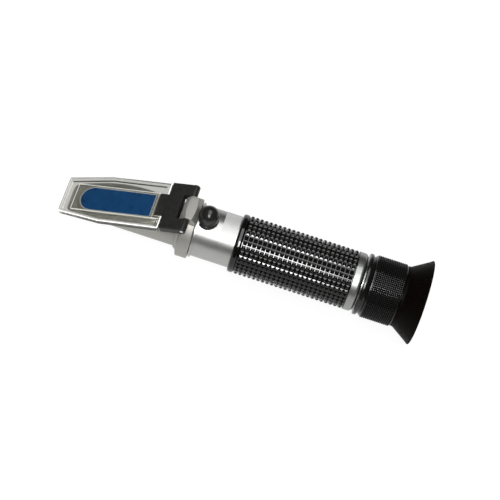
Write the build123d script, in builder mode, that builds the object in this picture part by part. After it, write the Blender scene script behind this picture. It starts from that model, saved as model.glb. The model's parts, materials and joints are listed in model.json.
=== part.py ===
"""Hand-held optical refractometer with a hinged daylight plate, in millimetres.

The optical axis runs along X: the prism head looks towards -X and the eyecup towards +X. Z is up,
on the side of the daylight plate and the calibration screw. The origin is at the middle of the bottom
of the bounding box, so the lowest point of the eyecup's rim is at Z 0. Radii and heights below are
measured from the optical axis.
"""

from build123d import *
import os
from math import cos, radians, sin

HALF_LENGTH = 85.6
RIM_R = 20.0  # also the height of the optical axis above the bottom of the box

# Stations along the optical axis, from the prism head to the eyecup
NOSE_FRONT, NOSE_REAR = -81.9, -28.6
COLLAR_FRONT, COLLAR_SHOULDER, COLLAR_REAR = -30.4, -28.3, -22.9
LIP_FRONT, LIP_REAR = -22.5, -21.6
BORE_FRONT = -22.0
BAND_FRONT, BAND_REAR = -11.2, -3.9
GRIP_FRONT, GRIP_REAR = -3.6, 52.0
TUBE_REAR = 55.2
END_RING_REAR = 56.4
FLANGE_FRONT, FLANGE_REAR = 57.0, 58.6
KNURL_FRONT, KNURL_REAR = 60.3, 74.9
SPIGOT_REAR = 79.6

# Radii about the optical axis
NOSE_R, NOSE_ROUND = 10.3, 1.1
LIGHT_PATH_R = 6.3
COLLAR_R, COLLAR_ROUND = 14.1, 0.6
NECK_R, NECK_BORE_R = 9.0, 7.4
LIP_R = 12.9
TUBE_R, BORE_R = 12.1, 10.3
GRIP_SEAT_R, GRIP_R, GRIP_CHAMFER = 11.7, 13.75, 0.9
BAND_THICKNESS = 0.12
BAND_START, BAND_WRAP = -75, 113  # degrees about the axis, from straight up towards -Y
END_THREAD_R = 11.2
END_RING_ROUND = 1.9
FLANGE_R, GROOVE_R, KNURL_R, KNURL_CHAMFER = 14.5, 14.0, 14.8, 0.3
SPIGOT_R = 12.9
EYECUP_NECK_R, EYECUP_NECK_LENGTH, EYECUP_GAP = 14.3, 1.2, 0.2
EYECUP_RIM_WALL, EYECUP_RIM_WIDTH, EYECUP_RIM_BEVEL, EYECUP_LEDGE = 0.7, 0.5, 0.1, 1.8

# Prism face: a plane that slopes down towards the front. Distances along it count up towards the hinge.
FACE_SLOPE = 21.5
FACE_X, FACE_Z = -38.4, 9.8
FACE_RECESS = 0.8  # the metal around the prism is cut this far below the face
LAND_MARGIN = 1.2  # but for a narrow land around the prism itself
PRISM_FRONT, PRISM_REAR, PRISM_HALF = -41.4, -6.0, 5.9
PRISM_BOTTOM = -7.5
SEAL_WIDTH, SEAL_DEPTH = 0.4, 0.8

# Daylight plate
PLATE_TOP, PLATE_EDGE_CHAMFER = 2.4, 0.4
PLATE_REAR, PLATE_BEND = 0.4, -28.9
PLATE_HALF_FRONT, PLATE_HALF = 9.4, 12.3
SHEET_BOTTOM = 1.0
PLATE_FRONT_ROUND, PLATE_REAR_ROUND = 1.2, 0.6
SKIRT_WALL, SKIRT_BOTTOM, SKIRT_INSET = 1.6, -0.4, 0.05
PAD_FRONT, PAD_HALF = -44.4, 6.8
SAMPLE_GAP = 0.1
ARM_INNER, ARM_WALL, ARM_END = 5.9, 0.8, 2.2
REAR_WALL_FRONT = -4.7

# Hinge
BLOCK_FRONT, BLOCK_HALF = 1.2, 12.4
BLOCK_TOP, BLOCK_BOTTOM, BLOCK_CHAMFER = 3.1, -0.6, 0.35
TONGUE_FRONT, TONGUE_HALF, TONGUE_GAP = -2.9, 5.6, 0.1
NOTCH_FRONT, NOTCH_HALF = 7.9, 6.4
TAB_REAR, TAB_HALF, TAB_BOTTOM, TAB_TOP = -0.8, 4.0, 0.7, 1.7
PIN_S, PIN_N = 11.9, 1.45  # along the slope, and above the prism face
PIN_R, PIN_END_DEPTH, PIN_CHAMFER = 0.9, 0.1, 0.2
EAR_R = 1.85
LUG_FRONT, LUG_REAR, LUG_HALF, LUG_TOP = -29.1, -24.3, 6.0, 17.7
LUG_ROOT, LUG_FOOT_REAR = 10.8, -23.3
LUG_FLANK = 1.5  # rise of the bevels in front of the lug's flat and behind it
GRUB_X, GRUB_R, GRUB_TURNS = -25.0, 1.2, (-55, 55)  # turns in degrees from straight down
GRUB_RECESS, HEX_R, HEX_DEPTH = 0.8, 0.7, 1.2

# Calibration screw, which stands on the tube's crown and drives the lens carriage up and down
SCREW_X = -18.4
SCREW_R, SCREW_HEAD_R = 1.2, 1.9
SCREW_TIP, SCREW_SHOULDER, SCREW_TOP = 7.4, 12.2, 13.4
SCREW_SLOT_WIDTH, SCREW_SLOT_DEPTH = 0.6, 0.7
BUSH_R, BUSH_SPIGOT_R, BUSH_TOP = 3.1, 2.4, 14.2
CAP_R, DOME_R, CAP_FLANGE_TOP, CAP_TOP = 5.0, 4.7, 13.2, 20.0
CAP_FLANGE_ROUND, DOME_ROUND, CAP_HEADROOM = 0.6, 4.4, 0.3

# Objective lens on its carriage
CARRIAGE_FRONT, CARRIAGE_REAR, CARRIAGE_R = -21.8, -14.4, 9.9
OBJECTIVE_FRONT, OBJECTIVE_REAR, OBJECTIVE_R, OBJECTIVE_SAG = -20.6, -16.8, 6.2, 0.9
OBJECTIVE_HOLE_R, OBJECTIVE_RETAINER_LENGTH = 5.4, 1.4

# Bimetal strip that shifts the reading with temperature, on the inside of the tube's floor
STRIP_HALF_WIDTH, STRIP_THICKNESS, STRIP_HEIGHT = 2.5, 0.6, -8.5
STRIP_FRONT, STRIP_REAR = -17.4, 12.6
STRIP_SLOT_CLEARANCE, STRIP_SIDE_CLEARANCE = 0.3, 0.1
STRIP_SCREW_XS = (7.6, 11.1)
STRIP_SCREW_R, STRIP_SCREW_HEAD_R, STRIP_SCREW_HEAD = 1.0, 1.6, 0.8
STRIP_BLOCK_MARGIN = 2.0

# Light baffle and reading scale, which lies in the focal plane of the eye lens
BAFFLE_FRONT, BAFFLE_STOP, BAFFLE_REAR = 16.6, 30.6, 46.6
BAFFLE_R, BAFFLE_HOLE_R, BAFFLE_WALL = 9.7, 7.6, 1.0
RETICLE_FRONT, RETICLE_THICKNESS, RETICLE_R = 48.6, 1.5, 9.0
HOLDER_FRONT, HOLDER_REAR, HOLDER_HOLE_R = 47.0, 51.6, 7.8

# Focusing eyepiece
FOCUS_NECK_FRONT, FOCUS_NECK_REAR = 52.2, 70.6
FOCUS_NECK_R, FOCUS_NECK_BORE_R = 10.0, 8.8
DRAG_GROOVE_FRONT, DRAG_GROOVE_REAR, DRAG_GROOVE_R = 61.6, 63.2, 11.4
LENS_STOP_FRONT, LENS_STOP_REAR = 71.6, 72.6
LENS_SEAT_R = 10.5
EYE_LENS_FRONT, EYE_LENS_REAR, EYE_LENS_SAG = 72.7, 76.8, 0.9
RETAINER_REAR, EYE_HOLE_R = 79.2, 8.6

RUNNING = 0.05  # radial clearance of a running fit
SEATED = 0.02  # gap between two pieces that are screwed, pressed or cemented together

slope = radians(FACE_SLOPE)
plate_front = (-HALF_LENGTH - FACE_X + (PLATE_TOP - PLATE_EDGE_CHAMFER) * sin(slope)) / cos(slope)

turning = Plane(origin=(0, 0, RIM_R), x_dir=(1, 0, 0), z_dir=(0, -1, 0))
optical_axis = Axis(origin=(0, 0, RIM_R), direction=(1, 0, 0))
# On the face plane, local x runs up the slope to the hinge and the normal points out of the prism
face = Plane(
    origin=(FACE_X, 0, RIM_R + FACE_Z), x_dir=(cos(slope), 0, sin(slope)), z_dir=(-sin(slope), 0, cos(slope))
)
face_side = Plane(origin=face.origin, x_dir=face.x_dir, z_dir=(0, -1, 0))
face_normal = Axis(origin=face.origin, direction=face.z_dir)
pin_centre = face.from_local_coords((PIN_S, 0, PIN_N))
screw_plane = Plane(origin=(SCREW_X, 0, RIM_R))
strip_plane = Plane(origin=(0, 0, RIM_R + STRIP_HEIGHT))
# Planes through the optical axis that face outwards along each radial screw
grub_planes = [
    Plane(origin=(GRUB_X, 0, RIM_R), z_dir=(0, sin(radians(turn)), -cos(radians(turn))))
    for turn in GRUB_TURNS
]
strip_screw_planes = [Plane(origin=(x, 0, RIM_R), z_dir=(0, 0, -1)) for x in STRIP_SCREW_XS]


def turned(*points):
    """The face of a closed outline of (x, radius) points, ready to be revolved about the optical axis."""
    with BuildSketch(turning) as outline:
        with BuildLine():
            Polyline(*points, close=True)
        make_face()
    return outline.sketch


def ring(front, rear, inner, outer):
    """The face of a plain ring's section, from front to rear along the optical axis."""
    return turned((front, inner), (rear, inner), (rear, outer), (front, outer))


def lens_section(front, rear, radius, front_sag, rear_sag):
    """Half of a lens's section, with faces that curve back by a sag at the edge; a sag of 0 is flat."""
    with BuildSketch(turning) as outline:
        with BuildLine():
            Line((front, 0), (rear, 0))
            if rear_sag:
                TangentArc((rear, 0), (rear - rear_sag, radius), tangent=(0, 1))
            else:
                Line((rear, 0), (rear, radius))
            Line((rear - rear_sag, radius), (front + front_sag, radius))
            TangentArc((front, 0), (front + front_sag, radius), tangent=(0, 1))
        make_face()
    return outline.sketch


def window(half, front, rear):
    """A U-shaped face on the prism's plane: round at the front and square at the hinge end."""
    with BuildSketch(face) as outline:
        with BuildLine():
            Polyline((front + half, -half), (rear, -half), (rear, half), (front + half, half))
            ThreePointArc((front + half, half), (front, 0), (front + half, -half))
        make_face()
    return outline.sketch


def plate_plan(inset, front, rear):
    """The daylight plate's plan: tapered ahead of the bend, with parallel sides back to the hinge."""
    with BuildSketch(face) as outline:
        with BuildLine():
            Polyline(
                (front, inset - PLATE_HALF_FRONT),
                (PLATE_BEND, inset - PLATE_HALF),
                (rear, inset - PLATE_HALF),
                (rear, PLATE_HALF - inset),
                (PLATE_BEND, PLATE_HALF - inset),
                (front, PLATE_HALF_FRONT - inset),
                close=True,
            )
        make_face()
    return outline.sketch


def slope_rectangle(height, front, rear, half):
    """One centred rectangle on the plane at a height above the prism face."""
    with BuildSketch(face.offset(height)) as plan:
        with Locations(((front + rear) / 2, 0)):
            Rectangle(rear - front, 2 * half)
    return plan.sketch


def crown_circle(radius, height):
    """A circle about the calibration screw's axis, at a height above the optical axis."""
    with BuildSketch(screw_plane.offset(height)) as plan:
        Circle(radius)
    return plan.sketch


# ---- Prism head ----

prism_rear_x = FACE_X + PRISM_REAR * cos(slope)
far_below = 2 * NOSE_R

with BuildPart() as prism_box:
    revolve(ring(NOSE_FRONT, NOSE_REAR, 0, NOSE_R), axis=optical_axis)
    split(bisect_by=face.offset(-FACE_RECESS), keep=Keep.BOTTOM)
    fillet(prism_box.faces().sort_by(Axis.X)[0].edges(), NOSE_ROUND)
    land = window(PRISM_HALF + LAND_MARGIN, PRISM_FRONT - LAND_MARGIN, PRISM_REAR + LAND_MARGIN)
    extrude(land, amount=-1.5 * FACE_RECESS)
    pocket_plan = window(PRISM_HALF + SEATED, PRISM_FRONT - SEATED, PRISM_REAR + SEATED)
    pocket_column = extrude(pocket_plan, amount=far_below, both=True, mode=Mode.PRIVATE)
    with BuildSketch(turning, mode=Mode.PRIVATE) as pocket_side:
        with Locations((prism_rear_x + SEATED, PRISM_BOTTOM - SEATED)):
            Rectangle(far_below * 3, far_below * 2, align=(Align.MAX, Align.MIN))
    pocket_block = extrude(pocket_side.sketch, amount=NOSE_R, both=True, mode=Mode.PRIVATE)
    add(pocket_column & pocket_block, mode=Mode.SUBTRACT)
    groove = window(PRISM_HALF + SEAL_WIDTH, PRISM_FRONT - SEAL_WIDTH, PRISM_REAR + SEAL_WIDTH)
    extrude(groove, amount=-SEAL_DEPTH, mode=Mode.SUBTRACT)
    revolve(ring(prism_rear_x - 0.5, NOSE_REAR, 0, LIGHT_PATH_R), axis=optical_axis, mode=Mode.SUBTRACT)

with BuildPart() as main_prism:
    extrude(window(PRISM_HALF, PRISM_FRONT, PRISM_REAR), amount=-far_below)
    with BuildSketch(turning) as prism_side:
        with Locations((prism_rear_x, PRISM_BOTTOM)):
            Rectangle(far_below * 3, far_below * 2, align=(Align.MAX, Align.MIN))
    extrude(amount=NOSE_R, both=True, mode=Mode.INTERSECT)

with BuildPart() as prism_seal:
    margin = SEAL_WIDTH - SEATED
    seal_plan = window(PRISM_HALF + margin, PRISM_FRONT - margin, PRISM_REAR + margin)
    extrude(seal_plan, amount=SEATED - SEAL_DEPTH)
    extrude(pocket_plan, amount=-2 * SEAL_DEPTH, mode=Mode.SUBTRACT)

# ---- Hinge collar and its pin ----

with BuildPart() as hinge_collar:
    revolve(
        turned(
            (COLLAR_FRONT, NOSE_R + SEATED),
            (COLLAR_FRONT, NOSE_R + 0.4),
            (COLLAR_SHOULDER - 0.7, NOSE_R + 1.5),
            (COLLAR_SHOULDER - 0.4, NOSE_R + 2.6),
            (COLLAR_SHOULDER, COLLAR_R),
            (COLLAR_REAR, COLLAR_R),
            (COLLAR_REAR, NECK_R + SEATED),
            (NOSE_REAR + SEATED, NECK_R + SEATED),
            (NOSE_REAR + SEATED, NOSE_R + SEATED),
        ),
        axis=optical_axis,
    )
    fillet(hinge_collar.edges().filter_by(GeomType.CIRCLE).sort_by(SortBy.RADIUS)[-2:], COLLAR_ROUND)
    # The lug is what is left of a turned flange with bevelled flanks, milled flat on top and on both sides
    flange = revolve(
        turned(
            (COLLAR_FRONT, NECK_R + 1),
            (COLLAR_FRONT, LUG_TOP - LUG_FLANK),
            (LUG_FRONT + LUG_FLANK, LUG_TOP + LUG_FLANK),
            (LUG_REAR - LUG_FLANK, LUG_TOP + LUG_FLANK),
            (LUG_FOOT_REAR, LUG_TOP - LUG_FLANK),
            (LUG_FOOT_REAR, NECK_R + 1),
        ),
        axis=optical_axis,
        mode=Mode.PRIVATE,
    )
    with BuildSketch(Plane.XY.offset(RIM_R + LUG_ROOT), mode=Mode.PRIVATE) as lug_plan:
        with Locations(((COLLAR_FRONT + COLLAR_REAR) / 2, 0)):
            Rectangle(COLLAR_REAR - COLLAR_FRONT, 2 * LUG_HALF)
    milled = extrude(lug_plan.sketch, amount=LUG_TOP - LUG_ROOT, mode=Mode.PRIVATE)
    add(flange & milled)
    with Locations(Location(pin_centre, (90, 0, 0))):
        Cylinder(PIN_R + SEATED, 4 * LUG_HALF, mode=Mode.SUBTRACT)
    for grub_plane in grub_planes:
        with BuildSketch(grub_plane):
            Circle(GRUB_R + SEATED)
        extrude(amount=2 * COLLAR_R, mode=Mode.SUBTRACT)

with BuildPart() as collar_screws:
    for grub_plane in grub_planes:
        with BuildSketch(grub_plane.offset(NECK_R + SEATED)):
            Circle(GRUB_R)
        extrude(amount=COLLAR_R - NECK_R - GRUB_RECESS)
        with BuildSketch(grub_plane.offset(COLLAR_R - GRUB_RECESS)):
            RegularPolygon(HEX_R, 6)
        extrude(amount=-HEX_DEPTH, mode=Mode.SUBTRACT)

with BuildPart() as hinge_pin:
    with Locations(Location(pin_centre, (90, 0, 0))):
        Cylinder(PIN_R, 2 * BLOCK_HALF - 2 * PIN_END_DEPTH)
    chamfer(hinge_pin.edges().filter_by(GeomType.CIRCLE), PIN_CHAMFER)

# ---- Daylight plate and its hinge block ----

with BuildPart() as daylight_plate:
    extrude(plate_plan(0, plate_front, PLATE_REAR), amount=PLATE_TOP)
    fillet(daylight_plate.edges().filter_by(face_normal).sort_by(Axis.X)[:2], PLATE_FRONT_ROUND)
    fillet(daylight_plate.edges().filter_by(face_normal).sort_by(Axis.X)[-2:], PLATE_REAR_ROUND)
    chamfer(daylight_plate.faces().sort_by(face_normal)[-1].edges(), PLATE_EDGE_CHAMFER)
    skirt_plan = plate_plan(SKIRT_INSET, plate_front + PLATE_EDGE_CHAMFER, PLATE_REAR - SKIRT_INSET)
    extrude(skirt_plan, amount=SKIRT_BOTTOM)
    # Hollow under the sheet, inside the skirt
    hollow_plan = plate_plan(SKIRT_WALL, plate_front + SKIRT_WALL, PLATE_REAR - ARM_END)
    extrude(hollow_plan, amount=SHEET_BOTTOM, mode=Mode.SUBTRACT)
    extrude(hollow_plan, amount=2 * SKIRT_BOTTOM, mode=Mode.SUBTRACT)
    # The pad that presses the sample on the prism runs back into the wall round the tongue's room
    extrude(slope_rectangle(SAMPLE_GAP, PAD_FRONT, REAR_WALL_FRONT, PAD_HALF), amount=SHEET_BOTTOM)
    wall = slope_rectangle(SKIRT_BOTTOM, REAR_WALL_FRONT, PLATE_REAR - ARM_END, ARM_INNER + ARM_WALL)
    extrude(wall, amount=SHEET_BOTTOM - SKIRT_BOTTOM)
    # The tongue of the hinge block lies between the two arms, and the wall's tab is cemented into it
    tongue_room = slope_rectangle(2 * SKIRT_BOTTOM, TONGUE_FRONT - TONGUE_GAP, PLATE_REAR + 1, ARM_INNER)
    extrude(tongue_room, amount=PLATE_TOP - 4 * SKIRT_BOTTOM, mode=Mode.SUBTRACT)
    tab = slope_rectangle(TAB_BOTTOM, REAR_WALL_FRONT, TAB_REAR, TAB_HALF)
    extrude(tab, amount=TAB_TOP - TAB_BOTTOM)

with BuildPart() as hinge_block:
    with BuildSketch(face_side) as block_profile:
        with Locations(((BLOCK_FRONT + PIN_S) / 2, (BLOCK_TOP + BLOCK_BOTTOM) / 2)):
            Rectangle(PIN_S - BLOCK_FRONT, BLOCK_TOP - BLOCK_BOTTOM)
        with Locations((PIN_S, PIN_N)):
            Circle(EAR_R)
    extrude(amount=BLOCK_HALF, both=True)
    chamfer(hinge_block.faces().sort_by(Axis.Y)[0].edges(), BLOCK_CHAMFER)
    chamfer(hinge_block.faces().sort_by(Axis.Y)[-1].edges(), BLOCK_CHAMFER)
    tongue = slope_rectangle(BLOCK_BOTTOM, TONGUE_FRONT, NOTCH_FRONT, TONGUE_HALF)
    extrude(tongue, amount=BLOCK_TOP - BLOCK_BOTTOM)
    # A slot in the tongue's front face takes the plate's tab
    tab_slot = slope_rectangle(TAB_BOTTOM - SEATED, TONGUE_FRONT - 1, TAB_REAR + SEATED, TAB_HALF + SEATED)
    extrude(tab_slot, amount=TAB_TOP - TAB_BOTTOM + 2 * SEATED, mode=Mode.SUBTRACT)
    notch = slope_rectangle(0, NOTCH_FRONT, PIN_S + 2 * EAR_R, NOTCH_HALF)
    extrude(notch, amount=2 * BLOCK_TOP, both=True, mode=Mode.SUBTRACT)
    with Locations(Location(pin_centre, (90, 0, 0))):
        Cylinder(PIN_R + RUNNING, 4 * BLOCK_HALF, mode=Mode.SUBTRACT)

# ---- Barrel ----

with BuildPart() as main_tube:
    revolve(
        turned(
            (NOSE_REAR + SEATED, NECK_BORE_R),
            (NOSE_REAR + SEATED, NECK_R),
            (LIP_FRONT, NECK_R),
            (LIP_FRONT, LIP_R),
            (LIP_REAR, LIP_R),
            (LIP_REAR, TUBE_R),
            (GRIP_FRONT, TUBE_R),
            (GRIP_FRONT, GRIP_SEAT_R),
            (GRIP_REAR, GRIP_SEAT_R),
            (GRIP_REAR, END_THREAD_R),
            (TUBE_REAR, END_THREAD_R),
            (TUBE_REAR, BORE_R),
            (BORE_FRONT, BORE_R),
            (BORE_FRONT, NECK_BORE_R),
        ),
        axis=optical_axis,
    )
    extrude(crown_circle(BUSH_SPIGOT_R + SEATED, 0), amount=2 * TUBE_R, mode=Mode.SUBTRACT)
    for strip_screw_plane in strip_screw_planes:
        with BuildSketch(strip_screw_plane):
            Circle(STRIP_SCREW_R + SEATED)
        extrude(amount=2 * TUBE_R, mode=Mode.SUBTRACT)

# A blank foil that is wrapped over the top of the tube, and not round its underside
band_start = radians(BAND_START)
band_plane = Plane(
    origin=(0, 0, RIM_R), x_dir=(1, 0, 0), z_dir=(0, -cos(band_start), -sin(band_start))
)
with BuildPart() as id_band:
    with BuildSketch(band_plane):
        with Locations(((BAND_FRONT + BAND_REAR) / 2, TUBE_R + BAND_THICKNESS / 2)):
            Rectangle(BAND_REAR - BAND_FRONT, BAND_THICKNESS)
    revolve(axis=optical_axis, revolution_arc=BAND_WRAP)

with BuildPart() as rubber_grip:
    revolve(
        turned(
            (GRIP_FRONT + SEATED, GRIP_SEAT_R + SEATED),
            (GRIP_FRONT + SEATED, GRIP_R - GRIP_CHAMFER),
            (GRIP_FRONT + GRIP_CHAMFER, GRIP_R),
            (GRIP_REAR - SEATED, GRIP_R),
            (GRIP_REAR - SEATED, GRIP_SEAT_R + SEATED),
        ),
        axis=optical_axis,
    )

with BuildPart() as end_ring:
    revolve(
        turned(
            (GRIP_REAR, END_THREAD_R + SEATED),
            (GRIP_REAR, GRIP_R),
            (END_RING_REAR, GRIP_R),
            (END_RING_REAR, BORE_R),
            (TUBE_REAR + SEATED, BORE_R),
            (TUBE_REAR + SEATED, END_THREAD_R + SEATED),
        ),
        axis=optical_axis,
    )
    fillet(end_ring.edges().group_by(Axis.X)[-1].sort_by(SortBy.RADIUS)[-1:], END_RING_ROUND)

# ---- Calibration screw, its bush and its cap ----

with BuildPart() as screw_bush:
    extrude(crown_circle(BUSH_SPIGOT_R, BORE_R), amount=TUBE_R - BORE_R)
    extrude(crown_circle(BUSH_R, BORE_R), amount=BUSH_TOP - BORE_R)
    tube_room = ring(SCREW_X - CAP_R, SCREW_X + CAP_R, 0, TUBE_R + SEATED)
    revolve(tube_room, axis=optical_axis, mode=Mode.SUBTRACT)
    extrude(crown_circle(BUSH_SPIGOT_R, BORE_R + RUNNING), amount=TUBE_R - BORE_R)
    extrude(crown_circle(SCREW_R + RUNNING, 0), amount=2 * TUBE_R, mode=Mode.SUBTRACT)
    head_room = crown_circle(SCREW_HEAD_R + RUNNING, SCREW_SHOULDER - RUNNING)
    extrude(head_room, amount=TUBE_R, mode=Mode.SUBTRACT)

with BuildPart() as calibration_screw:
    extrude(crown_circle(SCREW_R, SCREW_TIP), amount=SCREW_SHOULDER - SCREW_TIP)
    extrude(crown_circle(SCREW_HEAD_R, SCREW_SHOULDER), amount=SCREW_TOP - SCREW_SHOULDER)
    with BuildSketch(screw_plane.offset(SCREW_TOP)):
        Rectangle(3 * SCREW_HEAD_R, SCREW_SLOT_WIDTH)
    extrude(amount=-SCREW_SLOT_DEPTH, mode=Mode.SUBTRACT)

with BuildPart() as screw_cap:
    extrude(crown_circle(CAP_R, BORE_R), amount=CAP_FLANGE_TOP - BORE_R)
    fillet(screw_cap.faces().sort_by(Axis.Z)[-1].edges(), CAP_FLANGE_ROUND)
    cap_front, cap_rear = SCREW_X - 2 * CAP_R, SCREW_X + 2 * CAP_R
    revolve(ring(cap_front, LIP_REAR + SEATED, 0, CAP_TOP), axis=optical_axis, mode=Mode.SUBTRACT)
    extrude(crown_circle(DOME_R, BORE_R), amount=CAP_TOP - BORE_R)
    fillet(screw_cap.faces().sort_by(Axis.Z)[-1].edges(), DOME_ROUND)
    revolve(ring(cap_front, cap_rear, 0, TUBE_R + SEATED), axis=optical_axis, mode=Mode.SUBTRACT)
    beside_collar = ring(cap_front, LIP_REAR + SEATED, 0, COLLAR_R + SEATED)
    revolve(beside_collar, axis=optical_axis, mode=Mode.SUBTRACT)
    extrude(crown_circle(BUSH_R + SEATED, 0), amount=BUSH_TOP + CAP_HEADROOM, mode=Mode.SUBTRACT)

# ---- Objective lens on its carriage, and the strip that corrects for temperature ----

# How far the lens's faces have curved back where they meet the seat and the retainer
seat_sag = OBJECTIVE_SAG * (OBJECTIVE_HOLE_R / OBJECTIVE_R) ** 2

with BuildPart() as lens_carriage:
    revolve(ring(CARRIAGE_FRONT, CARRIAGE_REAR, OBJECTIVE_HOLE_R, CARRIAGE_R), axis=optical_axis)
    lens_room = ring(OBJECTIVE_FRONT + seat_sag - SEATED, CARRIAGE_REAR, 0, OBJECTIVE_R + SEATED)
    revolve(lens_room, axis=optical_axis, mode=Mode.SUBTRACT)
    screw_hole = crown_circle(SCREW_R + RUNNING, SCREW_TIP - STRIP_SLOT_CLEARANCE)
    extrude(screw_hole, amount=CARRIAGE_R, mode=Mode.SUBTRACT)
    with BuildSketch(strip_plane):
        with Locations((CARRIAGE_REAR, 0)):
            Rectangle(
                2 * (CARRIAGE_REAR - STRIP_FRONT + STRIP_SLOT_CLEARANCE),
                2 * (STRIP_HALF_WIDTH + STRIP_SIDE_CLEARANCE),
            )
    extrude(amount=STRIP_THICKNESS / 2 + STRIP_SLOT_CLEARANCE, both=True, mode=Mode.SUBTRACT)

with BuildPart() as objective_lens:
    objective = lens_section(OBJECTIVE_FRONT, OBJECTIVE_REAR, OBJECTIVE_R, OBJECTIVE_SAG, OBJECTIVE_SAG)
    revolve(objective, axis=optical_axis)

with BuildPart() as objective_retainer:
    retainer_front = OBJECTIVE_REAR - seat_sag + SEATED
    retainer_rear = retainer_front + OBJECTIVE_RETAINER_LENGTH
    revolve(ring(retainer_front, retainer_rear, OBJECTIVE_HOLE_R, OBJECTIVE_R), axis=optical_axis)

with BuildPart() as bimetal_strip:
    with BuildSketch(strip_plane):
        with Locations(((STRIP_FRONT + STRIP_REAR) / 2, 0)):
            Rectangle(STRIP_REAR - STRIP_FRONT, 2 * STRIP_HALF_WIDTH)
        with Locations(*[(x, 0) for x in STRIP_SCREW_XS]):
            Circle(STRIP_SCREW_R + SEATED, mode=Mode.SUBTRACT)
    extrude(amount=STRIP_THICKNESS / 2, both=True)

with BuildPart() as strip_block:
    block_front = STRIP_SCREW_XS[0] - STRIP_BLOCK_MARGIN
    block_rear = STRIP_SCREW_XS[-1] + STRIP_BLOCK_MARGIN
    revolve(ring(block_front, block_rear, 0, BORE_R - SEATED), axis=optical_axis)
    with BuildSketch(strip_plane.offset(-STRIP_THICKNESS / 2 - SEATED)):
        with Locations(((block_front + block_rear) / 2, 0)):
            Rectangle(block_rear - block_front, 2 * STRIP_HALF_WIDTH)
    extrude(amount=-BORE_R, mode=Mode.INTERSECT)
    for strip_screw_plane in strip_screw_planes:
        with BuildSketch(strip_screw_plane):
            Circle(STRIP_SCREW_R + SEATED)
        extrude(amount=2 * TUBE_R, mode=Mode.SUBTRACT)

with BuildPart() as strip_screws:
    for strip_screw_plane in strip_screw_planes:
        head_bottom = -STRIP_HEIGHT - STRIP_THICKNESS / 2 - SEATED
        with BuildSketch(strip_screw_plane.offset(head_bottom)):
            Circle(STRIP_SCREW_R)
        extrude(amount=GRIP_SEAT_R - SEATED - head_bottom)
        with BuildSketch(strip_screw_plane.offset(head_bottom)):
            Circle(STRIP_SCREW_HEAD_R)
        extrude(amount=-STRIP_SCREW_HEAD)

# ---- Reading scale ----

with BuildPart() as light_baffle:
    revolve(ring(BAFFLE_FRONT, BAFFLE_REAR, BAFFLE_R, BORE_R - SEATED), axis=optical_axis)
    for stop in (BAFFLE_FRONT, BAFFLE_STOP):
        revolve(ring(stop, stop + BAFFLE_WALL, BAFFLE_HOLE_R, BORE_R - SEATED), axis=optical_axis)

with BuildPart() as reticle_holder:
    revolve(
        turned(
            (HOLDER_FRONT, HOLDER_HOLE_R),
            (HOLDER_FRONT, BORE_R - SEATED),
            (HOLDER_REAR, BORE_R - SEATED),
            (HOLDER_REAR, RETICLE_R + SEATED),
            (RETICLE_FRONT - SEATED, RETICLE_R + SEATED),
            (RETICLE_FRONT - SEATED, HOLDER_HOLE_R),
        ),
        axis=optical_axis,
    )

with BuildPart() as reticle:
    revolve(ring(RETICLE_FRONT, RETICLE_FRONT + RETICLE_THICKNESS, 0, RETICLE_R), axis=optical_axis)

with BuildPart() as reticle_retainer:
    reticle_rear = RETICLE_FRONT + RETICLE_THICKNESS
    revolve(ring(reticle_rear + SEATED, HOLDER_REAR, HOLDER_HOLE_R, RETICLE_R), axis=optical_axis)

# ---- Focusing eyepiece ----

with BuildPart() as focus_neck:
    revolve(
        turned(
            (FOCUS_NECK_FRONT, FOCUS_NECK_BORE_R),
            (FOCUS_NECK_FRONT, BORE_R - SEATED),
            (END_RING_REAR, BORE_R - SEATED),
            (END_RING_REAR, FOCUS_NECK_R),
            (FOCUS_NECK_REAR, FOCUS_NECK_R),
            (FOCUS_NECK_REAR, FOCUS_NECK_BORE_R),
        ),
        axis=optical_axis,
    )

with BuildPart() as drag_ring:
    drag_front, drag_rear = DRAG_GROOVE_FRONT + RUNNING, DRAG_GROOVE_REAR - RUNNING
    revolve(ring(drag_front, drag_rear, FOCUS_NECK_R + RUNNING, DRAG_GROOVE_R - RUNNING), axis=optical_axis)

with BuildPart() as focus_ring:
    revolve(
        turned(
            (FLANGE_FRONT, FOCUS_NECK_R + RUNNING),
            (FLANGE_FRONT, FLANGE_R),
            (FLANGE_REAR, FLANGE_R),
            (FLANGE_REAR + KNURL_CHAMFER, GROOVE_R),
            (KNURL_FRONT - KNURL_CHAMFER, GROOVE_R),
            (KNURL_FRONT, KNURL_R - KNURL_CHAMFER),
            (KNURL_FRONT + KNURL_CHAMFER, KNURL_R),
            (KNURL_REAR - KNURL_CHAMFER, KNURL_R),
            (KNURL_REAR, KNURL_R - KNURL_CHAMFER),
            (KNURL_REAR, SPIGOT_R),
            (SPIGOT_REAR, SPIGOT_R),
            (SPIGOT_REAR, LENS_SEAT_R),
            (LENS_STOP_REAR, LENS_SEAT_R),
            (LENS_STOP_REAR, FOCUS_NECK_BORE_R),
            (LENS_STOP_FRONT, FOCUS_NECK_BORE_R),
            (LENS_STOP_FRONT, FOCUS_NECK_R + RUNNING),
            (DRAG_GROOVE_REAR, FOCUS_NECK_R + RUNNING),
            (DRAG_GROOVE_REAR, DRAG_GROOVE_R),
            (DRAG_GROOVE_FRONT, DRAG_GROOVE_R),
            (DRAG_GROOVE_FRONT, FOCUS_NECK_R + RUNNING),
        ),
        axis=optical_axis,
    )

with BuildPart() as eye_lens:
    eye_section = lens_section(EYE_LENS_FRONT, EYE_LENS_REAR, LENS_SEAT_R - SEATED, EYE_LENS_SAG, 0)
    revolve(eye_section, axis=optical_axis)

with BuildPart() as eye_lens_retainer:
    revolve(ring(EYE_LENS_REAR + SEATED, RETAINER_REAR, EYE_HOLE_R, LENS_SEAT_R - SEATED), axis=optical_axis)

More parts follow.
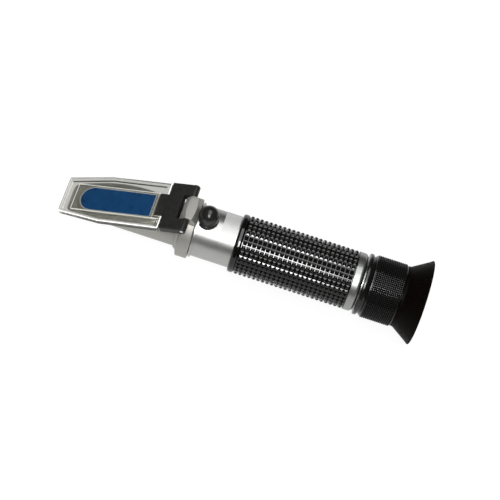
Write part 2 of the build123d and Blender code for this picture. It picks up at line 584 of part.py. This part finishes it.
with BuildPart() as eyecup:
    cup_front = KNURL_REAR + EYECUP_GAP
    revolve(
        turned(
            (cup_front, SPIGOT_R + SEATED),
            (cup_front, EYECUP_NECK_R),
            (cup_front + EYECUP_NECK_LENGTH, EYECUP_NECK_R),
            (HALF_LENGTH - EYECUP_RIM_WIDTH, RIM_R),
            (HALF_LENGTH, RIM_R - EYECUP_RIM_BEVEL),
            (HALF_LENGTH, RIM_R - EYECUP_RIM_WALL),
            (SPIGOT_REAR + SEATED, SPIGOT_R + EYECUP_LEDGE),
            (SPIGOT_REAR + SEATED, SPIGOT_R + SEATED),
        ),
        axis=optical_axis,
    )

parts = {
    "prism_box": prism_box,
    "main_prism": main_prism,
    "prism_seal": prism_seal,
    "hinge_collar": hinge_collar,
    "collar_screws": collar_screws,
    "hinge_pin": hinge_pin,
    "daylight_plate": daylight_plate,
    "hinge_block": hinge_block,
    "main_tube": main_tube,
    "id_band": id_band,
    "rubber_grip": rubber_grip,
    "end_ring": end_ring,
    "screw_bush": screw_bush,
    "calibration_screw": calibration_screw,
    "screw_cap": screw_cap,
    "lens_carriage": lens_carriage,
    "objective_lens": objective_lens,
    "objective_retainer": objective_retainer,
    "bimetal_strip": bimetal_strip,
    "strip_block": strip_block,
    "strip_screws": strip_screws,
    "light_baffle": light_baffle,
    "reticle_holder": reticle_holder,
    "reticle": reticle,
    "reticle_retainer": reticle_retainer,
    "focus_neck": focus_neck,
    "drag_ring": drag_ring,
    "focus_ring": focus_ring,
    "eye_lens": eye_lens,
    "eye_lens_retainer": eye_lens_retainer,
    "eyecup": eyecup,
}
os.makedirs("parts", exist_ok=True)
for name, piece in parts.items():
    piece.part.label = name
    export_step(piece.part, f"parts/{name}.step")
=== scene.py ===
"""The looks of a hand-held refractometer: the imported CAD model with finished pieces, materials and a studio.

The scene is in metres in the CAD frame: X runs along the optical axis to the eyecup, and Z is up. Pieces that
are round about the optical axis are drawn as sections in millimetres, with points of (x, radius).
"""

import json
import math

import bmesh
import bpy
from mathutils import Matrix, Vector


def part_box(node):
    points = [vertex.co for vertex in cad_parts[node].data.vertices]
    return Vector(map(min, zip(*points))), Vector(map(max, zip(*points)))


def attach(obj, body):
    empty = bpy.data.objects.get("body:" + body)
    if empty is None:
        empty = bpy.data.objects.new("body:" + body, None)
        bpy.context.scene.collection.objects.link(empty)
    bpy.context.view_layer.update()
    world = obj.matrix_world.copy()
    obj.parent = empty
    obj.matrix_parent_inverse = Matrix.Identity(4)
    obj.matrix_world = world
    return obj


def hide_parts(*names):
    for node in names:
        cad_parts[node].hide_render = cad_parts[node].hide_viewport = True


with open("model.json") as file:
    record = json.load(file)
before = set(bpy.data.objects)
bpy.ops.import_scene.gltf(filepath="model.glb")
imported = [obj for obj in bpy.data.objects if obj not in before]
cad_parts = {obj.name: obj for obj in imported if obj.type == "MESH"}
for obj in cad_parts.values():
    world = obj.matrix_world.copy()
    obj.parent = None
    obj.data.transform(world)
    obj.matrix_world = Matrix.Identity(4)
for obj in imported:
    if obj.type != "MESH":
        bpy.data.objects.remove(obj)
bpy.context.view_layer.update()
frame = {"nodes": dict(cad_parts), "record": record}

MM = 0.001
record = frame["record"]
body_of_node = {node: body for body, nodes in record["behaviour"]["bodies"].items() for node in nodes}
slot_of_node = {part["node"]: part["material_slot"] for part in record["subparts"]}


def box_mm(node):
    """A node's lowest and highest corners in millimetres."""
    low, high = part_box(node)
    return low / MM, high / MM


def named(rows, name):
    """The row of a list in the record that has this name."""
    return next(row for row in rows if row["name"] == name)


# The optical axis is the middle of the focus ring
ring_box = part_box("focus_ring")
axis_height = (ring_box[0].z + ring_box[1].z) / 2


# ---- Materials ----

# The range that a noise texture's values mostly fall in
NOISE_LOW, NOISE_HIGH = 0.3, 0.7
# Cosines between a surface's own normal and its rounded one: on a flat face, and well into an edge
FACE_COSINE, EDGE_COSINE = 0.98, 0.8


class Surface:
    """A Principled material, and the chains of nodes that its finish is built from."""

    def __init__(self, name, colour, roughness, metallic=0.0, **inputs):
        self.name = name
        self.material = bpy.data.materials.new(name)
        self.material.use_nodes = True
        self.nodes = self.material.node_tree.nodes
        self.links = self.material.node_tree.links
        self.shader = self.nodes["Principled BSDF"]
        self.shader.inputs["Base Color"].default_value = (*colour, 1)
        self.shader.inputs["Roughness"].default_value = roughness
        self.shader.inputs["Metallic"].default_value = metallic
        for key, value in inputs.items():
            self.shader.inputs[key.replace("_", " ")].default_value = value
        self.colour = colour
        self.roughness = roughness
        self.place = self.nodes.new("ShaderNodeTexCoord").outputs["Object"]
        self.tint = None

    def node(self, kind, values=(), **settings):
        """A new node with its settings, and with its inputs set to numbers or linked to sockets."""
        made = self.nodes.new("ShaderNode" + kind)
        for key, value in settings.items():
            setattr(made, key, value)
        for key, value in values:
            if isinstance(value, bpy.types.NodeSocket):
                self.links.new(value, made.inputs[key])
            else:
                made.inputs[key].default_value = value
        return made

    def noise(self, scale, detail, stretch):
        placed = self.node("Mapping", [("Vector", self.place), ("Scale", stretch)])
        values = [("Vector", placed.outputs[0]), ("Scale", scale), ("Detail", detail)]
        return self.node("TexNoise", values).outputs[0]

    def ranged(self, value, low, high, to_low=0.0, to_high=1.0):
        """A value moved from one range to another, and held inside it."""
        ends = [("From Min", low), ("From Max", high), ("To Min", to_low), ("To Max", to_high)]
        return self.node("MapRange", [("Value", value), *ends]).outputs[0]

    def blend(self, factor, first, second):
        """Makes the base colour go from the first colour to the second as the factor rises."""
        mix = self.node("Mix", [("Factor", factor), ("A", first), ("B", second)], data_type="RGBA")
        self.tint = mix.outputs["Result"]
        self.links.new(self.tint, self.shader.inputs["Base Color"])

    def mottle(self, scale, amount, stretch=(1, 1, 1)):
        """Lets the colour wander by a share of itself, and the roughness with it."""
        wander = self.noise(scale, 4.0, stretch)
        dark = tuple(c * (1 - amount) for c in self.colour)
        light = tuple(min(1, c * (1 + amount)) for c in self.colour)
        self.blend(self.ranged(wander, NOISE_LOW, NOISE_HIGH), (*dark, 1), (*light, 1))
        smooth, rough = self.roughness * (1 - amount), self.roughness * (1 + amount)
        spread = self.ranged(wander, NOISE_LOW, NOISE_HIGH, smooth, rough)
        self.links.new(spread, self.shader.inputs["Roughness"])
        return self

    def grain(self, scale, depth_mm, stretch=(1, 1, 1), strength=1.0):
        """Adds a fine relief."""
        height = self.noise(scale, 6.0, stretch)
        relief = self.node("Bump", [("Height", height), ("Distance", depth_mm * MM), ("Strength", strength)])
        self.links.new(relief.outputs[0], self.shader.inputs["Normal"])
        return self

    def edge_highlight(self, radius_mm, colour, amount):
        """Lightens a narrow line along the edges of a mottled finish, a painted highlight where the edges
        catch the light.
        """
        rounded = self.node("Bevel", [("Radius", radius_mm * MM)], samples=6).outputs[0]
        own = self.node("NewGeometry").outputs["Normal"]
        cosine = self.node("VectorMath", [(0, rounded), (1, own)], operation="DOT_PRODUCT").outputs["Value"]
        self.blend(self.ranged(cosine, FACE_COSINE, EDGE_COSINE, 0.0, amount), self.tint, (*colour, 1))
        return self

    def clear_to_shadows(self, tint):
        """Lets shadow and diffuse rays pass a clear piece, so that what lies under it is lit."""
        path = self.node("LightPath")
        rays = [(0, path.outputs["Is Shadow Ray"]), (1, path.outputs["Is Diffuse Ray"])]
        either = self.node("Math", rays, operation="MAXIMUM")
        passing = self.node("BsdfTransparent", [("Color", (*tint, 1))])
        shaders = [(1, self.shader.outputs[0]), (2, passing.outputs[0])]
        mix = self.node("MixShader", [("Fac", either.outputs[0]), *shaders])
        self.links.new(mix.outputs[0], self.nodes["Material Output"].inputs["Surface"])
        return self


def metals():
    return [
        Surface("cast_aluminium", (0.42, 0.415, 0.385), 0.53, 0.85)
        .mottle(900, 0.06)
        .grain(5200, 0.02, strength=0.5),
        Surface("satin_tube", (0.47, 0.47, 0.455), 0.38, 1.0)
        .mottle(700, 0.04, (0.3, 1, 1))
        .grain(6000, 0.01, (4, 0.3, 0.3), strength=0.35),
        Surface("polished_ring", (0.36, 0.37, 0.355), 0.36, 1.0)
        .mottle(500, 0.05)
        .grain(9000, 0.006, (6, 0.2, 0.2), strength=0.3),
        Surface("blank_foil", (0.78, 0.78, 0.77), 0.5, 0.3)
        .mottle(400, 0.03)
        .grain(2500, 0.01, strength=0.3),
        Surface("black_steel", (0.03, 0.03, 0.03), 0.35, 0.6)
        .mottle(1500, 0.2)
        .grain(6000, 0.01),
        Surface("steel_pin", (0.72, 0.72, 0.72), 0.22, 1.0)
        .mottle(1500, 0.1)
        .grain(8000, 0.008, (5, 1, 1)),
        Surface("brass_fittings", (0.72, 0.52, 0.22), 0.28, 1.0)
        .mottle(1200, 0.12)
        .grain(7000, 0.01),
        Surface("bimetal", (0.55, 0.50, 0.42), 0.35, 1.0)
        .mottle(1200, 0.12)
        .grain(6000, 0.01, (0.2, 4, 1)),
    ]


def acrylic(name, colour, roughness):
    """Clear acrylic with the faint waves of a moulded piece."""
    surface = Surface(name, colour, roughness, Transmission_Weight=1.0, IOR=1.49)
    return surface.grain(300, 0.008, strength=0.12).clear_to_shadows(tint=(0.93, 0.94, 0.93))


# The colour of the glow painted on the plate's edges
EDGE_LIGHT = (1, 1, 0.98, 1)


def optical_pieces():
    """The plate's edges are painted white as a highlight and glow a little, a painted light that stands for
    what clear acrylic carries to its edges.
    """
    return [
        Surface("blue_prism", (0.0020, 0.081, 0.268), 0.3, Specular_IOR_Level=0.3)
        .mottle(260, 0.12)
        .grain(900, 0.01, strength=0.2),
        Surface("grey_sealant", (0.62, 0.62, 0.60), 0.5)
        .mottle(1500, 0.1)
        .grain(4000, 0.02),
        acrylic("clear_acrylic", (0.68, 0.678, 0.645), 0.02),
        # Painted shade: the upright walls are tinted dark, to draw dark lines along the plate's outer edges
        acrylic("shaded_acrylic_wall", (0.16, 0.16, 0.15), 0.05),
        # Painted highlight: the plate's edges are white and glow a little, though they are no lamp
        Surface("acrylic_edge_highlight", (0.95, 0.95, 0.93), 0.30, Emission_Color=EDGE_LIGHT, Emission_Strength=0.45)
        .mottle(1500, 0.04)
        .grain(4000, 0.006, strength=0.3),
        Surface("lens_glass", (0.93, 0.97, 0.96), 0.0, Transmission_Weight=1.0, IOR=1.52)
        .grain(200, 0.002, strength=0.1)
        .clear_to_shadows(tint=(0.9, 0.93, 0.92)),
        Surface("scale_glass", (0.80, 0.86, 0.90), 0.25, Transmission_Weight=0.8, IOR=1.5)
        .mottle(1500, 0.05)
        .grain(5000, 0.004),
    ]


def black_parts():
    return [
        # The hinge's edges get a painted highlight: a lighter line along them
        Surface("black_hinge", (0.017, 0.017, 0.0158), 0.45, IOR=1.46)
        .mottle(700, 0.18)
        .grain(3800, 0.02, strength=0.55)
        .edge_highlight(0.18, (0.07, 0.07, 0.066), 0.55),
        Surface("black_interior", (0.010, 0.010, 0.010), 0.6)
        .mottle(1200, 0.2)
        .grain(4200, 0.02),
        Surface("black_knurl", (0.004, 0.004, 0.0036), 0.2, IOR=1.5)
        .mottle(900, 0.25)
        .grain(7000, 0.008, strength=0.5),
        # Painted highlight: the knurl's crests are a lighter, glossier copy of the black knurl
        Surface("lit_knurl_top", (0.022, 0.022, 0.0205), 0.14, IOR=1.5)
        .mottle(900, 0.25)
        .grain(7000, 0.008, strength=0.5),
        # Painted shade: the knurl's grooves are darker and dull
        Surface("shaded_knurl_groove", (0.002, 0.002, 0.002), 0.6, Specular_IOR_Level=0.1)
        .mottle(900, 0.25)
        .grain(5000, 0.006, strength=0.3),
        Surface("grip_rubber", (0.002, 0.002, 0.0017), 0.12, IOR=1.5)
        .mottle(600, 0.25)
        .grain(3500, 0.01, strength=0.3),
        Surface("matte_rubber", (0.003, 0.003, 0.0026), 0.6, Specular_IOR_Level=0.04)
        .mottle(600, 0.25)
        .grain(3500, 0.01, strength=0.3),
        Surface("cap_rubber", (0.014, 0.014, 0.0135), 0.21)
        .mottle(700, 0.2)
        .grain(4500, 0.008, strength=0.2),
        Surface("eyecup_rubber", (0.0022, 0.0010, 0.0007), 0.5, Specular_IOR_Level=0.05)
        .mottle(500, 0.2)
        .grain(2600, 0.012, strength=0.45),
    ]


materials = {surface.name: surface.material for surface in metals() + optical_pieces() + black_parts()}


def dress(obj, slot):
    """Gives a piece the one material of its slot."""
    obj.data.materials.clear()
    obj.data.materials.append(materials[slot])


def add_finish(obj, material, chosen):
    """Gives a second finish to the faces of a piece that are chosen."""
    obj.data.materials.append(materials[material])
    added = len(obj.data.materials) - 1
    for face in obj.data.polygons:
        if chosen(face):
            face.material_index = added


# ---- Pieces that stand for CAD nodes ----

replaced = set()


def stand_for(obj, node):
    """A finished piece takes its CAD node's body and stands in its place, and the CAD node is hidden."""
    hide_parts(node)
    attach(obj, body_of_node[node])
    replaced.add(node)


def finish_mesh(obj, sharp_degrees):
    """Clean outward normals and smooth shading that breaks at the real edges."""
    mesh = bmesh.new()
    mesh.from_mesh(obj.data)
    bmesh.ops.recalc_face_normals(mesh, faces=mesh.faces)
    mesh.to_mesh(obj.data)
    mesh.free()
    obj.data.shade_smooth()
    obj.data.set_sharp_from_angle(angle=math.radians(sharp_degrees))


# ---- Round pieces, from a section about the optical axis ----

# How far, in millimetres, the corners of a quad can be from level with each other before it is parted in two
LEVEL_TO = 1e-4


def quad_faces(quad, radii):
    """A quad, or two facets that are flat where it crosses the corner of a raised square.

    The parting line runs through the highest corner, as the ridge of a stud does."""
    heights = [radii[corner] for corner in quad]
    if abs(heights[0] + heights[2] - heights[1] - heights[3]) <= LEVEL_TO:
        return [quad]
    highest = heights.index(max(heights))
    a, b, c, d = quad[highest:] + quad[:highest]
    return [(a, b, c), (a, c, d)]


def lathe(name, node, rings, turns, sharp_degrees):
    """A closed sleeve in its CAD node's finish, from rings of (x, radius) in order round its section.

    A radius is a number, or a function of the turn from 0 to 1 for a surface with relief."""
    points = []
    radii = []
    for x, radius in rings:
        for turn in turns:
            r = radius(turn) if callable(radius) else radius
            angle = 2 * math.pi * turn
            points.append((x * MM, -r * MM * math.sin(angle), axis_height + r * MM * math.cos(angle)))
            radii.append(r)
    count = len(turns)
    faces = []
    for ring in range(len(rings)):
        here, beyond = ring * count, (ring + 1) % len(rings) * count
        for step in range(count):
            beside = (step + 1) % count
            faces += quad_faces((here + step, here + beside, beyond + beside, beyond + step), radii)
    mesh = bpy.data.meshes.new(name)
    mesh.from_pydata(points, [], faces)
    obj = bpy.data.objects.new(name, mesh)
    bpy.context.collection.objects.link(obj)
    finish_mesh(obj, sharp_degrees)
    dress(obj, slot_of_node[node])
    return obj


def arc(x, radius, size, start, end, steps=6):
    """Points on a round of a section, with angles in degrees from the +X direction."""
    angles = [math.radians(start + (end - start) * step / steps) for step in range(steps + 1)]
    return [(x + size * math.cos(a), radius + size * math.sin(a)) for a in angles]


def straight(start, end, steps):
    """Points evenly along a straight stretch of a section, with both of its ends."""
    shares = [step / steps for step in range(steps + 1)]
    return [tuple(a + (b - a) * share for a, b in zip(start, end)) for share in shares]


def section_place(face):
    """Where the middle of a face is on the section, as x and radius in millimetres."""
    return face.center.x / MM, math.hypot(face.center.y, face.center.z - axis_height) / MM


class RaisedSquares:
    """A band of raised squares round a sleeve, such as studs or a knurl.

    The profile of a square is a list of (half-width, rise) from its foot to its flat top. The half-width is a
    share of the pitch, and the rise is a share of the height."""

    def __init__(self, radius, height, rows, around, profile):
        self.radius = radius
        self.foot_radius = radius - height
        self.height = height
        self.rows = rows
        self.around = around
        self.profile = profile
        halves = [half for half, _ in profile]
        self.stations = [0.5 - half for half in halves] + [0.5 + half for half in reversed(halves)]

    def rise(self, place):
        """How far up a square a place on the pitch is, from 0 in the groove to 1 on the flat top."""
        out = abs(place % 1.0 - 0.5)
        if out > self.profile[0][0]:
            return 0.0
        for (wide, low), (narrow, high) in zip(self.profile, self.profile[1:]):
            if out > narrow:
                return low + (high - low) * (wide - out) / (wide - narrow)
        return 1.0

    def radius_along(self, station):
        """The radius, as a function of the turn, of a ring at a station of a row."""

        def radius(turn):
            rise = min(self.rise(station), self.rise(turn * self.around))
            return self.radius - self.height * (1 - rise)

        return radius

    def rings(self, front, rear):
        """The rings of the band from its front to its rear."""
        pitch = (rear - front) / self.rows
        places = [(row, station) for row in range(self.rows) for station in self.stations]
        return [(front + (row + station) * pitch, self.radius_along(station)) for row, station in places]

    def turns(self):
        """Turns that fall on the same stations of every square in a row."""
        places = [(square, station) for square in range(self.around) for station in self.stations]
        return [(square + station) / self.around for square, station in places]


# ---- Rubber grip: a smooth bulged rim, then rings of square studs ----

GRIP_BORE = 11.72
RIM_LENGTH, RIM_ROUND = 3.2, 1.1
# The plain strip behind the last studs
PLAIN_REAR = 0.35
# Across a stud: the foot of its wall, the shoulder where its chamfer starts, and its flat top
STUD_PROFILE = [(0.43, 0.0), (0.38, 0.60), (0.10, 1.0)]
# A face less than this far below the tops is on the flat top of a stud
TOPS_TO = 0.06

grip_low, grip_high = box_mm("rubber_grip")
grip_front, grip_rear = grip_low.x, grip_high.x
grip_radius = (grip_high.z - grip_low.z) / 2
studs_front = grip_front + RIM_LENGTH
studs = RaisedSquares(grip_radius, height=0.75, rows=24, around=36, profile=STUD_PROFILE)

# The fall from the rim to the first groove, as (distance ahead of the studs, depth below their tops)
rim_fall = [(1.0, 0.04), (0.5, 0.25), (0.15, studs.height)]

grip_rings = [(grip_front, GRIP_BORE)]
grip_rings += arc(grip_front + RIM_ROUND, grip_radius - RIM_ROUND, RIM_ROUND, 180, 90)
grip_rings += [(studs_front - ahead, grip_radius - below) for ahead, below in rim_fall]
grip_rings += studs.rings(studs_front, grip_rear - PLAIN_REAR)
grip_rings += [(grip_rear, studs.foot_radius), (grip_rear, GRIP_BORE)]
studded_grip = lathe("studded_grip", "rubber_grip", grip_rings, studs.turns(), 20)


def on_stud_top(face):
    x, radius = section_place(face)
    return x > studs_front and radius > grip_radius - TOPS_TO


add_finish(studded_grip, "matte_rubber", on_stud_top)
stand_for(studded_grip, "rubber_grip")

# ---- Focus ring: a flange, a hollow groove, a cross-cut knurl and the spigot that carries the eyecup ----

# The flange and the edges of the groove lie these steps below the knurl's crests
FLANGE_STEP, GROOVE_STEP = 0.3, 0.8
FLANGE_LENGTH, EDGE_ROUND = 1.6, 0.35
KNURL_START, KNURL_LENGTH, KNURL_MARGIN, KNURL_LIP = 3.3, 14.6, 0.35, 0.2
SPIGOT_RADIUS = 12.9
# Inside: the bore for the neck with the drag ring's groove, then the stop and the seat of the eye lens
NECK_BORE, DRAG_BORE, STOP_BORE, LENS_BORE = 10.05, 11.4, 8.8, 10.5
# Distances behind the ring's front, and then ahead of the knurl's rear
DRAG_FRONT, DRAG_REAR = 4.6, 6.2
STOP_FRONT, STOP_REAR = 3.3, 2.3
# Depths below the knurl's crests: a face less deep than the first is on a crest, and from there to the second
# it is in a groove
CRESTS_TO, GROOVES_TO = 0.1, 0.5
# Across a crest of the knurl: the foot of its flank, and its flat top
KNURL_PROFILE = [(0.38, 0.0), (0.18, 1.0)]

ring_low, ring_high = box_mm("focus_ring")
ring_front, ring_rear = ring_low.x, ring_high.x
knurl_radius = (ring_high.z - ring_low.z) / 2
flange_radius, groove_radius = knurl_radius - FLANGE_STEP, knurl_radius - GROOVE_STEP
knurl_front = ring_front + KNURL_START
knurl_rear = knurl_front + KNURL_LENGTH
knurl = RaisedSquares(knurl_radius, height=0.40, rows=16, around=100, profile=KNURL_PROFILE)

# The hollow of the groove, as (distance from the ring's front, depth below the groove's edges)
hollow = [(1.75, 0.25), (2.2, 0.45), (2.7, 0.25)]

focus_rings = [(ring_front, NECK_BORE)]
for flange_edge, start in ((EDGE_ROUND, 180), (FLANGE_LENGTH - EDGE_ROUND, 90)):
    edge_x, edge_radius = ring_front + flange_edge, flange_radius - EDGE_ROUND
    focus_rings += arc(edge_x, edge_radius, EDGE_ROUND, start, start - 90, 4)
focus_rings += [(ring_front + x, groove_radius - below) for x, below in hollow]
focus_rings += [(knurl_front, knurl.foot_radius)]
focus_rings += knurl.rings(knurl_front + KNURL_MARGIN, knurl_rear - KNURL_MARGIN)
focus_rings += [(knurl_rear - KNURL_MARGIN, knurl.foot_radius), (knurl_rear, knurl.foot_radius - KNURL_LIP)]
focus_rings += [(knurl_rear, SPIGOT_RADIUS), (ring_rear, SPIGOT_RADIUS), (ring_rear, LENS_BORE)]
focus_rings += [(knurl_rear - STOP_REAR, LENS_BORE), (knurl_rear - STOP_REAR, STOP_BORE)]
focus_rings += [(knurl_rear - STOP_FRONT, STOP_BORE), (knurl_rear - STOP_FRONT, NECK_BORE)]
focus_rings += [(ring_front + DRAG_REAR, NECK_BORE), (ring_front + DRAG_REAR, DRAG_BORE)]
focus_rings += [(ring_front + DRAG_FRONT, DRAG_BORE), (ring_front + DRAG_FRONT, NECK_BORE)]
knurled_ring = lathe("knurled_focus_ring", "focus_ring", focus_rings, knurl.turns(), 20)


def depth_in_knurl(face):
    """How far below the crests a face is, which is endless outside the knurled band."""
    x, radius = section_place(face)
    in_band = knurl_front + KNURL_MARGIN < x < knurl_rear - KNURL_MARGIN
    return knurl_radius - radius if in_band else math.inf


def on_crest(face):
    return depth_in_knurl(face) < CRESTS_TO


def in_groove(face):
    return CRESTS_TO < depth_in_knurl(face) < GROOVES_TO


# The grooves get painted shade, and the crests a painted highlight
add_finish(knurled_ring, "shaded_knurl_groove", in_groove)
add_finish(knurled_ring, "lit_knurl_top", on_crest)
stand_for(knurled_ring, "focus_ring")

# ---- Eyecup: a soft cone with a beaded rim ----

# Distances are from the cup's front or rear, and heights and drops are from its neck, its rim or the spigot
CUP_NECK, NECK_ROUND, SPIGOT_FIT = 14.3, 0.3, 0.02
# The neck's rear swells into the cone, as (distance from the cup's front, height above the neck)
neck_swell = [(0.9, -0.02), (1.25, 0.06)]
CONE_START, CONE_RISE = 1.7, 0.3
BEAD, BEAD_FROM, BEAD_TO = 0.38, 125, -70
CONE_END, CONE_DROP = 0.75, 0.32
MOUTH_DEPTH, MOUTH_WALL = 0.9, 1.15
FUNNEL_START, FUNNEL_RISE = 4.9, 1.8
# The ledge inside, which stops the cup on the end of the spigot
LEDGE_REAR, LEDGE_FRONT, LEDGE_RISE = 4.56, 4.52, 1.3
CUP_STEPS = 160

cup_low, cup_high = box_mm("eyecup")
cup_front, cup_rear = cup_low.x, cup_high.x
cup_radius = (cup_high.z - cup_low.z) / 2
cone_foot = (cup_front + CONE_START, CUP_NECK + CONE_RISE)
cone_brim = (cup_rear - CONE_END, cup_radius - CONE_DROP)
mouth = (cup_rear - MOUTH_DEPTH, cup_radius - MOUTH_WALL)
funnel_end = (cup_front + FUNNEL_START, SPIGOT_RADIUS + FUNNEL_RISE)

cup_rings = [(cup_front, SPIGOT_RADIUS + SPIGOT_FIT)]
cup_rings += arc(cup_front + NECK_ROUND, CUP_NECK - NECK_ROUND, NECK_ROUND, 180, 90, 4)
cup_rings += [(cup_front + x, CUP_NECK + rise) for x, rise in neck_swell]
cup_rings += straight(cone_foot, cone_brim, 10)[:-1]
cup_rings += arc(cup_rear - BEAD, cup_radius - BEAD, BEAD, BEAD_FROM, BEAD_TO, 10)
cup_rings += straight(mouth, funnel_end, 9)
cup_rings += [(cup_front + LEDGE_REAR, SPIGOT_RADIUS + LEDGE_RISE)]
cup_rings += [(cup_front + LEDGE_FRONT, SPIGOT_RADIUS + SPIGOT_FIT)]
cup_turns = [step / CUP_STEPS for step in range(CUP_STEPS)]
stand_for(lathe("flared_eyecup", "eyecup", cup_rings, cup_turns, 40), "eyecup")

# ---- Moulded and cast pieces: their CAD shapes with rounded edges ----

# Corners closer than this, in metres, are one
WELD_TO = 2e-6
# Neighbouring faces are one where they turn by less than the first, and their edge is rounded from the second
FLAT_WITHIN, ROUNDED_FROM = math.radians(1), math.radians(28)


def softened(node, width_mm, sharp_degrees=40):
    """A copy of a CAD node whose edges are rounded, as moulded and cast edges are."""
    obj = bpy.data.objects.new(node + "_finished", frame["nodes"][node].data.copy())
    bpy.context.collection.objects.link(obj)
    dress(obj, slot_of_node[node])
    mesh = bmesh.new()
    mesh.from_mesh(obj.data)
    bmesh.ops.remove_doubles(mesh, verts=mesh.verts, dist=WELD_TO)
    bmesh.ops.dissolve_limit(mesh, angle_limit=FLAT_WITHIN, verts=mesh.verts, edges=mesh.edges)
    mesh.to_mesh(obj.data)
    mesh.free()
    round_edges = obj.modifiers.new("round_edges", "BEVEL")
    round_edges.width = width_mm * MM
    round_edges.segments = 3
    round_edges.limit_method = "ANGLE"
    round_edges.angle_limit = ROUNDED_FROM
    round_edges.use_clamp_overlap = True
    bpy.context.view_layer.update()
    seen = obj.evaluated_get(bpy.context.evaluated_depsgraph_get())
    obj.data = bpy.data.meshes.new_from_object(seen)
    obj.modifiers.clear()
    finish_mesh(obj, sharp_degrees)
    return obj


for node, width in (("hinge_block", 0.15), ("hinge_collar", 0.15), ("prism_box", 0.12), ("main_prism", 0.15)):
    stand_for(softened(node, width), node)

# ---- Daylight plate: clear acrylic, with a painted highlight and glow on its edges and painted shade on its walls ----

# Heights are above the hinge pin and square to the prism face, in millimetres
CHAMFERS_ABOVE = 0.4
PAD_BOTTOM, PAD_TOP, PAD_HALF_WIDTH = -1.9, -0.8, 8.0
# The share of a face's normal that is along the plate's own: an upright face has less than the first, and a
# flat one more than the second
UPRIGHT_TO, FLAT_FROM = 0.3, 0.9

pin_place = Vector(named(record["behaviour"]["joints"], "plate_hinge")["pos_m"])
plate_up = Vector(named(record["mounts"], "prism_face")["axis"]).normalized()


def above_pin(face):
    return (face.center - pin_place).dot(plate_up) / MM


def is_upright(face):
    return abs(face.normal.dot(plate_up)) < UPRIGHT_TO


def on_highlit_edge(face):
    """The chamfers of the cover's top, and the sides of the pad that presses the sample on the prism: the
    edges that get the painted highlight and glow.
    """
    if is_upright(face):
        return PAD_BOTTOM < above_pin(face) < PAD_TOP and abs(face.center.y) < PAD_HALF_WIDTH * MM
    return UPRIGHT_TO < face.normal.dot(plate_up) < FLAT_FROM and above_pin(face) > CHAMFERS_ABOVE


def on_wall(face):
    return is_upright(face) and above_pin(face) > PAD_TOP


plate = softened("daylight_plate", 0.1, sharp_degrees=12)
# Painted highlight and glow on the plate's edges
add_finish(plate, "acrylic_edge_highlight", on_highlit_edge)
# Painted shade on the plate's upright walls
add_finish(plate, "shaded_acrylic_wall", on_wall)
stand_for(plate, "daylight_plate")

# ---- CAD nodes that keep their shape ----

for node, obj in frame["nodes"].items():
    if node not in replaced:
        dress(obj, slot_of_node[node])

# ---- Stage: a pale paper floor that glows a little, dimmer in reflections than to the camera ----

FLOOR_REACH = 8.0
FLOOR_GLOW, FLOOR_GLOW_REFLECTED = 0.90, 0.68
SKY_GLOW = 0.08
WHITE = (1, 1, 1, 1)

corners = [(x * FLOOR_REACH, y * FLOOR_REACH, 0) for x, y in ((-1, -1), (1, -1), (1, 1), (-1, 1))]
floor_mesh = bpy.data.meshes.new("floor")
floor_mesh.from_pydata(corners, [], [(0, 1, 2, 3)])
floor = bpy.data.objects.new("floor", floor_mesh)
bpy.context.collection.objects.link(floor)
paper = Surface("paper", (0.16, 0.16, 0.16), 0.9, Emission_Color=WHITE).mottle(40, 0.01)
in_reflections = paper.node("LightPath").outputs["Is Glossy Ray"]
glow = paper.ranged(in_reflections, 0, 1, FLOOR_GLOW, FLOOR_GLOW_REFLECTED)
paper.links.new(glow, paper.shader.inputs["Emission Strength"])
floor_mesh.materials.append(paper.material)

world = bpy.data.worlds.new("studio")
bpy.context.scene.world = world
world.use_nodes = True
world.node_tree.nodes["Background"].inputs["Color"].default_value = WHITE
world.node_tree.nodes["Background"].inputs["Strength"].default_value = SKY_GLOW

# ---- Lights ----

target = Vector((0, 0, axis_height))


def softbox(name, lean, along, distance, width, depth, power):
    """A rectangular light over the object, with sizes in metres and its power in watts.

    The lean is its angle in degrees from straight up towards -Y, and along is how far it is moved along X."""
    data = bpy.data.lights.new(name, "AREA")
    data.shape = "RECTANGLE"
    data.size = width
    data.size_y = depth
    data.energy = power
    light = bpy.data.objects.new(name, data)
    bpy.context.collection.objects.link(light)
    angle = math.radians(lean)
    place = target + Vector((along, -math.sin(angle) * distance, math.cos(angle) * distance))
    aim = (place - target).to_track_quat("Z", "X").to_matrix().to_4x4()
    light.matrix_world = Matrix.Translation(place) @ aim


softbox("overhead", lean=-11, along=0.0, distance=1.2, width=0.9, depth=0.46, power=4.6)
softbox("key", lean=31, along=0.05, distance=1.35, width=0.50, depth=0.14, power=7.8)
softbox("glow", lean=19, along=0.04, distance=1.3, width=0.50, depth=0.48, power=3.0)

# ---- Camera: at the photograph's viewing angle ----

# Fitted to the photograph's outline: the directions to the picture's right, and back to the camera
CAMERA_PLACE = (-0.00024, -0.3613, 0.6626)
CAMERA_RIGHT = (0.95055, 0.26837, 0.15631)
CAMERA_BACK = (-0.00555, -0.48855, 0.87252)
SENSOR_MM, LENS_MM = 36, 116.18

camera_data = bpy.data.cameras.new("camera")
camera_data.sensor_width = SENSOR_MM
camera_data.lens = LENS_MM
camera_data.clip_start = 0.01
camera = bpy.data.objects.new("camera", camera_data)
bpy.context.collection.objects.link(camera)
back = Vector(CAMERA_BACK).normalized()
up = back.cross(Vector(CAMERA_RIGHT)).normalized()
right = up.cross(back)
turned = Matrix((right, up, back)).transposed().to_4x4()
camera.matrix_world = Matrix.Translation(CAMERA_PLACE) @ turned
bpy.context.scene.camera = camera
bpy.context.scene.view_settings.view_transform = "Standard"
